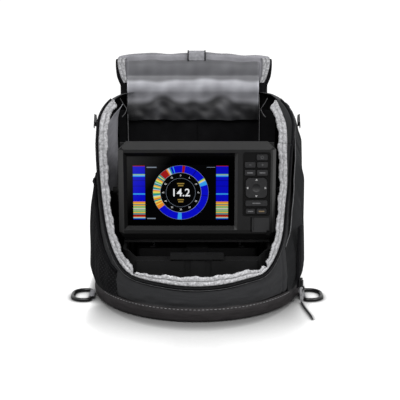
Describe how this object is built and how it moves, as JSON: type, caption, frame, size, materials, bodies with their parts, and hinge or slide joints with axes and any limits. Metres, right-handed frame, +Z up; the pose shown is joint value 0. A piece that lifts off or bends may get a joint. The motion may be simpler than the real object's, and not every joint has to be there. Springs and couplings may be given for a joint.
{
  "type": "portable_fish_finder",
  "caption": "Portable sonar fish finder: a keyed flat screen tilting on a bail over a moulded battery base, in an open soft carry bag with its zipped front flap folded back",
  "frame": {"origin": "on the floor under the middle of the bag", "axes": "+Z up, front of the display faces -Y, +X to the right of the person reading the screen"},
  "size_m": [0.294, 0.2006, 0.2749],
  "materials": {
    "bag_cloth": "matte",
    "coated_cloth": "satin",
    "grey_lining": "satin",
    "grey_trim": "matte",
    "black_mesh": "matte",
    "zip_tape": "matte",
    "zip_metal": "satin",
    "webbing": "matte",
    "grip_rubber": "matte",
    "thin_cord": "matte",
    "ring_plastic": "satin",
    "housing_plastic": "satin",
    "base_plastic": "matte",
    "bail_plastic": "satin",
    "key_rubber": "satin",
    "lens_glass": "gloss",
    "screen": "satin",
    "board": "satin",
    "ceramic": "matte",
    "brass": "satin",
    "steel": "satin",
    "gasket": "matte",
    "battery_case": "satin"
  },
  "bodies": {
    "bag": {"front_panel": "bag_cloth", "left_panel": "bag_cloth", "right_panel": "bag_cloth", "back_panel": "bag_cloth", "bag_floor": "coated_cloth", "bag_lining": "black_mesh", "mouth_trim": "grey_trim", "mouth_zip": "zip_tape", "side_gussets": "black_mesh", "back_facing": "grey_lining", "mesh_pocket": "black_mesh", "side_pocket": "bag_cloth", "pocket_zip": "zip_tape", "ring_tabs": "webbing", "base_tray": "base_plastic", "base_deck": "base_plastic", "base_screws": "steel", "battery": "battery_case", "battery_strap": "webbing", "bail_bracket": "bail_plastic"},
    "display": {"front_bezel": "housing_plastic", "rear_cover": "housing_plastic", "housing_gasket": "gasket", "housing_screws": "steel", "pivot_inserts": "brass", "tilt_washers": "gasket", "screen_lens": "lens_glass", "lcd_panel": "screen", "main_board": "board", "keypad_board": "board", "gps_antenna": "ceramic", "card_socket": "steel", "power_socket": "base_plastic", "sonar_socket": "base_plastic"},
    "flap_standing": {"flap_standing": "bag_cloth", "flap_edging": "grey_trim", "flap_pocket": "grey_lining", "flap_tab": "webbing"},
    "pull": {"pull_grip": "grip_rubber", "pull_cord": "thin_cord"},
    "left_knob": {"left_knob": "base_plastic"},
    "right_knob": {"right_knob": "base_plastic"},
    "power_key": {"power_key": "key_rubber"},
    "zoom_out_key": {"zoom_out_key": "key_rubber"},
    "zoom_in_key": {"zoom_in_key": "key_rubber"},
    "left_soft_key": {"left_soft_key": "key_rubber"},
    "right_soft_key": {"right_soft_key": "key_rubber"},
    "select_key": {"select_key": "key_rubber"},
    "back_key": {"back_key": "key_rubber"},
    "menu_key": {"menu_key": "key_rubber"},
    "pad_pivot": {"pad_pivot": "key_rubber"},
    "direction_pad": {"direction_pad": "key_rubber"},
    "card_door": {"card_door": "housing_plastic"},
    "flap_middle": {"flap_middle": "bag_cloth"},
    "flap_front": {"flap_front": "bag_cloth"},
    "pocket_slider": {"pocket_slider": "zip_metal"},
    "left_zip_slider": {"left_zip_slider": "zip_metal"},
    "right_zip_slider": {"right_zip_slider": "zip_metal"},
    "left_ring": {"left_ring": "ring_plastic"},
    "right_ring": {"right_ring": "ring_plastic"}
  },
  "joints": [
    {"name": "display_tilt", "type": "hinge", "parent": "bag", "child": "display", "pos_m": [0, 0.0115, 0.124], "axis": [-1, 0, 0], "range_deg": [-2, 20]},
    {"name": "left_knob_turn", "type": "hinge", "parent": "display", "child": "left_knob", "pos_m": [-0.085, 0.0115, 0.124], "axis": [-1, 0, 0], "continuous": true},
    {"name": "right_knob_turn", "type": "hinge", "parent": "display", "child": "right_knob", "pos_m": [0.085, 0.0115, 0.124], "axis": [1, 0, 0], "continuous": true},
    {"name": "power_key_press", "type": "slide", "parent": "display", "child": "power_key", "axis": [0, 1, 0], "range_m": [0, 0.001], "stiffness_N_per_m": 1500},
    {"name": "zoom_out_key_press", "type": "slide", "parent": "display", "child": "zoom_out_key", "axis": [0, 1, 0], "range_m": [0, 0.001], "stiffness_N_per_m": 1500},
    {"name": "zoom_in_key_press", "type": "slide", "parent": "display", "child": "zoom_in_key", "axis": [0, 1, 0], "range_m": [0, 0.001], "stiffness_N_per_m": 1500},
    {"name": "left_soft_key_press", "type": "slide", "parent": "display", "child": "left_soft_key", "axis": [0, 1, 0], "range_m": [0, 0.001], "stiffness_N_per_m": 1500},
    {"name": "right_soft_key_press", "type": "slide", "parent": "display", "child": "right_soft_key", "axis": [0, 1, 0], "range_m": [0, 0.001], "stiffness_N_per_m": 1500},
    {"name": "select_key_press", "type": "slide", "parent": "display", "child": "select_key", "axis": [0, 1, 0], "range_m": [0, 0.001], "stiffness_N_per_m": 1500},
    {"name": "back_key_press", "type": "slide", "parent": "display", "child": "back_key", "axis": [0, 1, 0], "range_m": [0, 0.001], "stiffness_N_per_m": 1500},
    {"name": "menu_key_press", "type": "slide", "parent": "display", "child": "menu_key", "axis": [0, 1, 0], "range_m": [0, 0.001], "stiffness_N_per_m": 1500},
    {"name": "pad_rock_up", "type": "hinge", "parent": "display", "child": "pad_pivot", "pos_m": [0.0669, -0.0193, 0.1352], "axis": [1, 0, 0], "range_deg": [-2.5, 2.5], "stiffness_Nm_per_rad": 0.6},
    {"name": "pad_rock_side", "type": "hinge", "parent": "pad_pivot", "child": "direction_pad", "pos_m": [0.0669, -0.0193, 0.1352], "axis": [0, 0, 1], "range_deg": [-2.5, 2.5], "stiffness_Nm_per_rad": 0.6},
    {"name": "card_door_open", "type": "hinge", "parent": "display", "child": "card_door", "pos_m": [0.0633, -0.0212, 0.092], "axis": [0, 0, -1], "range_deg": [0, 100]},
    {"name": "flap_close", "type": "hinge", "parent": "bag", "child": "flap_standing", "pos_m": [0, 0.0855, 0.231], "axis": [1, 0, 0], "range_deg": [0, 114]},
    {"name": "flap_unfold", "type": "hinge", "parent": "flap_standing", "child": "flap_middle", "pos_m": [0, 0.09675, 0.27104], "axis": [1, 0, 0], "range_deg": [0, 174]},
    {"name": "flap_bend", "type": "hinge", "parent": "flap_middle", "child": "flap_front", "pos_m": [0, 0.10325, 0.12704], "axis": [1, 0, 0], "range_deg": [0, 72]},
    {"name": "pocket_slider_run", "type": "slide", "parent": "bag", "child": "pocket_slider", "axis": [0, 0, 1], "range_m": [0, 0.055]},
    {"name": "pull_swing", "type": "hinge", "parent": "pocket_slider", "child": "pull", "pos_m": [0.12025, -0.02854, 0.019], "axis": [-0.4274, -0.9041, 0], "range_deg": [0, 110]},
    {"name": "left_zip_run", "type": "hinge", "parent": "bag", "child": "left_zip_slider", "pos_m": [0, 0.08097, 0.148], "axis": [0.9962, -0.0872, 0], "range_deg": [0, 20]},
    {"name": "right_zip_run", "type": "hinge", "parent": "bag", "child": "right_zip_slider", "pos_m": [0, 0.08097, 0.148], "axis": [0.9962, 0.0872, 0], "range_deg": [0, 20]},
    {"name": "left_ring_lift", "type": "hinge", "parent": "bag", "child": "left_ring", "pos_m": [-0.124, -0.0035, 0.0023], "axis": [0, 1, 0], "range_deg": [0, 70]},
    {"name": "right_ring_lift", "type": "hinge", "parent": "bag", "child": "right_ring", "pos_m": [0.124, -0.0035, 0.0023], "axis": [0, -1, 0], "range_deg": [0, 70]}
  ]
}
